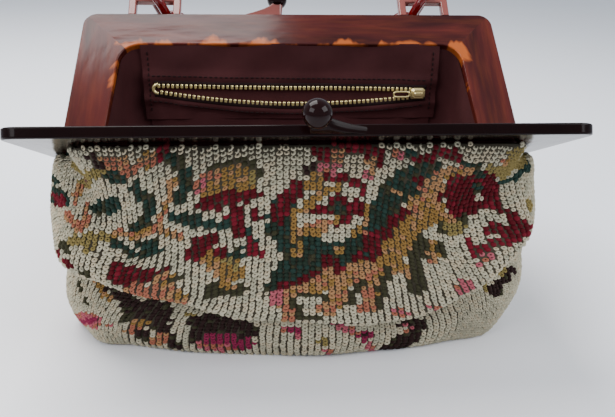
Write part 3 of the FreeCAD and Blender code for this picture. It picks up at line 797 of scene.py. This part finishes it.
def ring_template(around, section, wide, tall, bar):
    """A loop of yarn: an oval ring that lies flat and leans out at its lower side."""
    turn = np.arange(around)[:, None] * 2 * math.pi / around
    roll = np.arange(section) * 2 * math.pi / section
    x = np.cos(turn) * (wide + np.cos(roll) * bar)
    y = np.sin(turn) * (tall + np.cos(roll) * bar)
    grid = points_at(x, y, np.sin(roll) * bar - LOOP_LEAN * y)
    return grid.reshape(-1, 3), grid_faces(around, section, 1, 1)


def tuft_template(around, radius, height):
    """A cut tuft: a soft low dome."""
    turn = np.arange(around) * 2 * math.pi / around
    grid = np.array([points_at(np.cos(turn) * radius * share, np.sin(turn) * radius * share, height * rise)
                     for share, rise in ((1.0, 0.0), (0.86, 0.6), (0.5, 0.93), (0.03, 1.0))])
    return grid.reshape(-1, 3), grid_faces(len(grid), around, 0, 1)[:, OUTWARD]


def make_tapestry(label, side, ring):
    """One side of the bag: its backing cloth and its stitches, a piece for each yarn."""
    reach = SEAM_U[side]
    columns = int(2 * reach / COLUMN_PITCH)
    edge_curves = tapestry_profiles(side, np.linspace(-reach, reach, columns + 1), inset=0.6)
    # The backing's dark colour is painted shade for the gaps between the stitches.
    backing = grid_piece(f"{label}_backing", edge_curves[::3], BACKING_PAINTED_SHADE, "tapestry", turned=side > 0)
    thicken(backing, BACKING_THICK)

    u = np.linspace(FIRST_COLUMN - reach, reach - FIRST_COLUMN, columns)
    points, on_cloth, v = rows_along(tapestry_profiles(side, u), ROW_PITCH, FIRST_ROW)
    across = np.gradient(points, axis=1)
    up = np.gradient(points, axis=0)
    normal = unit(np.cross(across, up) * -side)
    gap = np.linalg.norm(across, axis=-1)
    across = unit(across)
    up = unit(up)
    chosen = paint_motifs(np.broadcast_to(u, v.shape), v)
    shift = RANDOM.normal(0, 0.20, points.shape[:2] + (2,))
    twist = RANDOM.normal(0.30, 0.30, points.shape[:2])
    swell = RANDOM.normal(1.0, 0.08, points.shape[:2])
    points = points + across * shift[..., :1] + up * shift[..., 1:] + normal * LOOP_LIFT

    stitches = []
    for number, yarn in enumerate(YARN_NAMES):
        here = (chosen == number) & on_cloth
        if not here.any():
            continue
        cut = yarn in CUT_PILE
        turn = twist[here][:, None]
        narrow = np.clip(gap[here] / COLUMN_PITCH, 0.6, 1.15)[:, None]
        size = swell[here][:, None]
        right = (across[here] * np.cos(turn) + up[here] * np.sin(turn)) * size * narrow
        rise = (up[here] * np.cos(turn) - across[here] * np.sin(turn)) * size
        places = points[here] - (normal[here] * LOOP_LIFT if cut else 0)
        template = tuft_template(6, *TUFT) if cut else ring
        mesh = copies(*template, places, np.stack([right, rise, normal[here] * size], 1))
        stitches.append(make_piece(f"{label}_{yarn}_yarn", *mesh, YARN_MATERIALS[yarn], "tapestry"))
    for piece in (backing, *stitches):
        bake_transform(piece)
    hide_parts(label)


make_tapestry("tapestry_front", -1, ring_template(8, 4, *LOOP))
make_tapestry("tapestry_back", 1, ring_template(6, 3, *LOOP))


def level_sheet(name, z, inset, made, slot):
    """A level sheet that fills the bag's outline at height z."""
    share = np.linspace(-1, 1, 61)
    front = level_point(-1, share * SEAM_U[-1], z, -inset)
    back = level_point(1, share * SEAM_U[1], z, -inset)
    rows = [front + (back - front) * part for part in np.linspace(0, 1, 13)]
    return grid_piece(name, rows, made, slot)


base = level_sheet("tapestry_base_cloth", 1.6, 1.5, BACKING_PAINTED_SHADE, "tapestry")
thicken(base, BACKING_THICK)
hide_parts("tapestry_base")
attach(base, "root")


INSERT_LOW = 3.0
INSERT_TOP = 92.0
INSERT_WIDTH = 40.0
INSERT_STITCH_INSET = 2.9
INSERT_CLOTH_INSET = 3.6


def insert_stitches(label, sign):
    """Cream loops over the outer face of a side's insert."""
    z = np.arange(INSERT_LOW + 2.0, INSERT_TOP - 2.0, ROW_PITCH)
    places = []
    axes = []
    for side, seam in SEAM_U.items():
        for u in np.arange(seam - INSERT_WIDTH + 2.0, seam, COLUMN_PITCH):
            here = level_point(side, sign * u, z, -INSERT_STITCH_INSET)
            right = unit(level_point(side, sign * u + 0.5, z, -INSERT_STITCH_INSET) - here)
            rise = unit(np.gradient(here, axis=0))
            places.append(here)
            axes.append(np.stack([right, rise, np.cross(right, rise) * -side], 1))
    mesh = copies(*ring_template(6, 3, *LOOP), np.concatenate(places), np.concatenate(axes))
    piece = make_piece(f"tapestry_{label}_insert_yarn", *mesh, YARN_MATERIALS["cream"], "tapestry")
    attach(piece, "root")
    return piece


def gusset_insert(label, sign):
    """The folded-in cloth behind the side seam, which shows when the frame closes."""
    levels = np.linspace(INSERT_LOW, INSERT_TOP, 24)
    columns = []
    for side, seam in SEAM_U.items():
        out = np.linspace(seam - INSERT_WIDTH, seam, 9)[::-side]
        columns += [level_point(side, sign * u, levels, -INSERT_CLOTH_INSET) for u in out]
    piece = grid_piece(f"tapestry_{label}_insert", columns, GUSSET, "tapestry", turned=sign > 0)
    thicken(piece, 0.8)
    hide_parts(f"tapestry_{label}_gusset")
    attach(piece, "root")
    stitches = insert_stitches(label, sign)


gusset_insert("left", -1)
gusset_insert("right", 1)

# ---- the lining

LINING_FLOOR = 7.0
LINING_SAMPLES = 56
PANEL_HALF = 98.0
PANEL_LOW = 106.0
PANEL_TOP = 156.0
PANEL_Y = 56.0


def lining_side(label, side):
    """The lining of one side: from the frame's inner edge down to the floor, with loose folds."""
    reach = SEAM_U[side]
    u = np.linspace(-reach, reach, CURVE_SAMPLES)
    rows = []
    for level, pull in ((LINING_FLOOR, 5.0), (20.0, 6.0), (50.0, 7.0), (80.0, 7.5)):
        fold = 0.9 * np.sin(u / 6.0 + level / 9.0) + 0.6 * np.sin(u / 2.7)
        rows.append(level_point(side, u, level, fold - pull))
    top = held_point(side, u, 0.4, 4.5, HINGE_POINT + [-3.0, 0.0, 1.0])
    if side > 0:
        under_panel = top.copy()
        under_panel[:, 2] = np.interp(np.abs(u), [0, 90, 130, reach], [108.0, 108.0, 104.0, 93.0])
        under_panel[:, 1] += (1.5 + 0.5 * np.sin(u / 5.0)) * (np.abs(u) < 95)
        rows.append(under_panel)
    curves = catmull(np.array([*rows, top]), np.linspace(0, 1, LINING_SAMPLES))
    piece = grid_piece(f"lining_{label}_shell", curves, LINING, "lining")
    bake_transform(piece)
    return piece


lining_front = lining_side("front", -1)
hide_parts("lining_front", "lining_left_gusset", "lining_right_gusset")
lining_back = lining_side("back", 1)
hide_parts("lining_back_lower")
lining_floor = level_sheet("lining_floor_sheet", LINING_FLOOR, 5.5, LINING, "lining")
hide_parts("lining_base")
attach(lining_floor, "root")

# ---- the zip and the panel it is sewn to

ZIP_Z = 123.5
ZIP_HALF = 89.0
TOOTH_PITCH = 3.0
# Boxes: length, depth, height and bevel.
TOOTH = (1.7, 1.8, 2.7, 0.35)
SLIDER = (9.6, 2.6, 7.4, 1.4)
BRIDGE = (6.0, 1.4, 2.4, 0.5)


def zip_edge(x, sign):
    """The height of the upper (1) or lower (-1) row of teeth: the open zip gapes like a lens."""
    swell = np.clip(1 - (x / ZIP_HALF) ** 2, 0, 1)
    lifted = 3.4 * np.clip(-x / ZIP_HALF, 0, 1) ** 1.5
    return ZIP_Z + sign * 1.5 + lifted + swell * (1.6 if sign > 0 else -5.2)


def panel_depth(x, z):
    """How far the panel's cloth stands behind its plane: the open slit, the soft folds and the pleats."""
    upper = zip_edge(x, 1)
    lower = zip_edge(x, -1)
    inside = np.minimum(upper - z, z - lower)
    slit = smooth((inside + 0.2) / 1.2) * (np.abs(x) < ZIP_HALF - 1)
    above = np.exp(-((z - upper - 6.0) / 4.0) ** 2)
    below = np.exp(-((z - lower + 5.5) / 3.5) ** 2)
    near_ends = np.exp(-((np.abs(x) - 80.0) / 10.0) ** 2)
    pleats = np.sin(x / 3.1) * near_ends * np.clip((PANEL_TOP - z) / 30.0, 0, 1)
    loose = 0.5 * np.sin(x / 13.0 + z / 9.0) + 0.35 * np.sin(x / 7.0 - z / 5.0)
    return 6.5 * slit - 1.3 * above - 1.7 * below - 0.7 * pleats + loose * (1 - slit)


def on_panel(x, z, forward=0.0):
    """Points of the panel's cloth, or points in front of it."""
    return points_at(x, PANEL_Y - forward + panel_depth(x, z), z)


panel_grid = np.meshgrid(np.linspace(-PANEL_HALF, PANEL_HALF, 197), np.linspace(PANEL_LOW, PANEL_TOP, 101))
panel = grid_piece("lining_zip_panel", on_panel(*panel_grid), LINING, "lining")
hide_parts("lining_back")
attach(panel, "back_frame")


def rounded_box(length, depth, height, bevel):
    """A box with its long edges taken off, nearly closed at its -y end and open at its +y end; its points
    and faces.
    """
    outline = []
    for sx, sz in ((1, -1), (1, 1), (-1, 1), (-1, -1)):
        corner = [(sx * length / 2, sz * (height / 2 - bevel)), (sx * (length / 2 - bevel), sz * height / 2)]
        outline += corner if sx * sz > 0 else corner[::-1]
    rings = []
    for y, shrink in ((depth / 2, 1.0), (-depth / 2 + bevel, 1.0), (-depth / 2, 0.72), (-depth / 2, 0.02)):
        rings.append([(x * shrink, y, z * shrink) for x, z in outline])
    return np.array(rings).reshape(-1, 3), grid_faces(len(rings), len(outline), 0, 1)[:, OUTWARD]


def boxes_along(box, places, along):
    """Small rounded boxes at the places, each turned to lie along its direction."""
    right = along / np.linalg.norm(along, axis=1, keepdims=True)
    back = np.broadcast_to([0.0, 1.0, 0.0], right.shape)
    return copies(*rounded_box(*box), places, np.stack([right, back, np.cross(right, back)], 1))


def zip_teeth(label, sign):
    """One row of brass teeth, set on the tape's edge."""
    x = np.arange(-ZIP_HALF + 1, ZIP_HALF, TOOTH_PITCH) + (0.0 if sign > 0 else TOOTH_PITCH / 2)
    z = zip_edge(x, sign)
    places = points_at(x, PANEL_Y - 1.0, z + sign * 0.5)
    mesh = boxes_along(TOOTH, places, points_at(1.0, 0.0, np.gradient(z, x)))
    piece = make_piece(f"zip_{label}_teeth_row", *mesh, BRASS, "brass", rounded=False)
    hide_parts(f"zip_teeth_{label}")
    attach(piece, "back_frame")


def zip_tape(label, sign):
    """The woven tape that carries one row of teeth."""
    x = np.linspace(-ZIP_HALF - 2, ZIP_HALF + 2, 90)
    rows = []
    for away in (0.0, 1.5, 3.0):
        z = zip_edge(x, sign) + sign * (0.6 + away)
        y = PANEL_Y - 0.7 + panel_depth(x, z + sign * 1.2) * 0.6
        rows.append(points_at(x, y, z))
    piece = grid_piece(f"zip_{label}_tape_strip", rows, TAPE, "zip_tape", turned=sign < 0)
    thicken(piece, 0.5, offset=1.0)
    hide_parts(f"zip_tape_{label}")
    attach(piece, "back_frame")


for tape_label, tape_sign in (("upper", 1), ("lower", -1)):
    zip_teeth(tape_label, tape_sign)
    zip_tape(tape_label, tape_sign)


def brass_bar(name, path, radius, around=8):
    """A round brass bar along a path of points."""
    along = unit(np.gradient(path, axis=0))
    aside = unit(np.cross(along, [0.0, 1.0, 0.0]))
    third = np.cross(along, aside)
    turn = (np.arange(around + 1) * 2 * math.pi / around)[None, :, None]
    rings = path[:, None, :] + radius * (aside[:, None, :] * np.cos(turn) + third[:, None, :] * np.sin(turn))
    return grid_piece(name, rings, BRASS, "brass")


half_turn = np.linspace(math.pi / 2, 3 * math.pi / 2, 13)
end_loop = points_at(-ZIP_HALF + 0.5 + 3.2 * np.cos(half_turn), PANEL_Y - 1.3,
                     zip_edge(-ZIP_HALF, 1) - 1.5 + 3.0 * np.sin(half_turn))
end_stop = brass_bar("zip_end_loop", end_loop, 1.05)
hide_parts("zip_end_stop")
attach(end_stop, "back_frame")


SLIDER_X = 85.0
SLIDER_Y = 52.7
BRIDGE_Y = SLIDER_Y - 1.6
PULL_Y = 50.8
PULL_LOW_X = 67.6
PULL_HIGH_X = 79.4
PULL_BAR = 0.6
PULL_RISE = 1.75


def blunt(value):
    """A sine or cosine made blunter, for a loop with square ends."""
    return np.sign(value) * np.abs(value) ** 0.5


slider_points, slider_faces = rounded_box(*SLIDER)
bridge_points, bridge_faces = rounded_box(*BRIDGE)
both_points = np.concatenate([slider_points + [SLIDER_X, SLIDER_Y, ZIP_Z],
                              bridge_points + [SLIDER_X, BRIDGE_Y, ZIP_Z]])
both_faces = np.concatenate([slider_faces, bridge_faces + len(slider_points)])
slider = make_piece("zip_slider_body", both_points, both_faces, BRASS, "brass", rounded=False)
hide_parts("zip_slider")
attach(slider, "zip_slider")
full_turn = np.linspace(0, 2 * math.pi, 33)
pull_half = (PULL_HIGH_X - PULL_LOW_X) / 2
pull_path = points_at(PULL_LOW_X + pull_half + (pull_half - PULL_BAR) * blunt(np.cos(full_turn)), PULL_Y,
                      ZIP_Z + PULL_RISE * blunt(np.sin(full_turn)))
pull = brass_bar("zip_pull_loop", pull_path, PULL_BAR)
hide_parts("zip_pull_tab")
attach(pull, "zip_pull")


def stitch_line(name, points, gap=3.4, length=2.0):
    """A sewn line: short threads laid end to end along the points."""
    run = np.concatenate([[0.0], np.cumsum(np.linalg.norm(np.diff(points, axis=0), axis=1))])
    starts = np.arange(0, run[-1] - length, gap)
    centre, ahead = (np.stack([np.interp(starts + part, run, points[:, axis]) for axis in range(3)], -1)
                     for part in (length / 2, length))
    mesh = boxes_along((length, 0.6, 0.7, 0.15), centre, ahead - centre)
    piece = make_piece(name, *mesh, THREAD, "lining")
    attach(piece, "back_frame")


seam_x = np.linspace(-92, 92, 90)
side_z = np.linspace(112, 152, 60)
for label, seam_line in (("upper", (seam_x, zip_edge(seam_x, 1) + 7.0)),
                         ("lower", (seam_x, zip_edge(seam_x, -1) - 7.0)),
                         ("left_side", (-94.0, side_z)),
                         ("right_side", (94.0, side_z))):
    stitch_line(f"lining_{label}_stitching", on_panel(*seam_line, forward=0.3))

# ---- carried-over parts and their materials

FINISHES = {"front_frame_half": FRONT_SHELL, "front_clasp_arm": FRONT_SHELL, "front_clasp_ball": CLASP,
            "back_frame_half": BACK_SHELL, "back_clasp_arm": LUG_SHELL, "back_clasp_ball": CLASP,
            "left_handle_lug": LUG_SHELL, "right_handle_lug": LUG_SHELL, "base_board": BOARD,
            "left_hinge_pin": STEEL, "right_hinge_pin": STEEL, "zip_pocket_bag": LINING}
for name, node in frame["nodes"].items():
    finish = FINISHES.get(name, CHERRY if name.startswith("chain_link") else None)
    if finish is not None:
        node.data.materials.clear()
        node.data.materials.append(finish)
    if name.startswith(("chain_link", "front_clasp", "back_clasp")):
        node.data.polygons.foreach_set("use_smooth", np.full(len(node.data.polygons), True))

# ---- table, light and camera

floor_mesh = bpy.data.meshes.new("table")
TABLE_HALF = 6.0
table_corners = [(x * TABLE_HALF, y * TABLE_HALF, 0) for x, y in ((-1, -1), (1, -1), (1, 1), (-1, 1))]
floor_mesh.from_pydata(table_corners, [], [(0, 1, 2, 3)])
floor_mesh.materials.append(FLOOR)
floor = bpy.data.objects.new("table", floor_mesh)
bpy.context.scene.collection.objects.link(floor)


def area_light(name, place, target, size, power, colour=(1, 1, 1)):
    light = bpy.data.lights.new(name, "AREA")
    light.shape = "RECTANGLE"
    light.size, light.size_y = size
    light.energy = power
    light.color = colour
    lamp = bpy.data.objects.new(name, light)
    lamp.location = place
    lamp.rotation_euler = (Vector(target) - Vector(place)).to_track_quat("-Z", "Y").to_euler()
    bpy.context.scene.collection.objects.link(lamp)


# Each light: its place, where it points, its size and its power in watts.
area_light("overhead", (-0.45, 0.31, 1.1), (-0.45, 0.31, 0.0), (0.9, 0.78), 23.0, (1.0, 0.98, 0.96))
area_light("window", (0.95, -0.45, 0.9), (0.1, 0, 0.05), (0.9, 0.7), 12.5, (0.96, 0.98, 1.0))
area_light("fill", (-0.75, -0.55, 0.75), (0.0, 0, 0.08), (0.7, 0.5), 6.5, (0.98, 0.98, 1.0))

world = bpy.data.worlds.new("soft_room")
world.use_nodes = True
world.node_tree.nodes["Background"].inputs["Color"].default_value = (0.83, 0.90, 1.0, 1)
world.node_tree.nodes["Background"].inputs["Strength"].default_value = 0.68
bpy.context.scene.world = world

IMAGE_WIDTH = 615
FOCAL_PIXELS = 620.4
SENSOR = 36.0
PITCH = math.radians(24.53)
YAW = math.radians(3.95)
ROLL = math.radians(0.745)
EYE = Vector((-17.1, -356.1, HINGE_Z + 122.3))
camera_data = bpy.data.cameras.new("camera")
camera_data.sensor_width = SENSOR
camera_data.lens = FOCAL_PIXELS / IMAGE_WIDTH * SENSOR
camera_data.clip_start = 0.01
camera = bpy.data.objects.new("camera", camera_data)
camera.matrix_world = (Matrix.Translation(EYE * MM)
                       @ Matrix.Rotation(-YAW, 4, "Z") @ Matrix.Rotation(math.pi / 2 - PITCH, 4, "X")
                       @ Matrix.Rotation(ROLL, 4, "Z"))
bpy.context.scene.collection.objects.link(camera)
bpy.context.scene.camera = camera
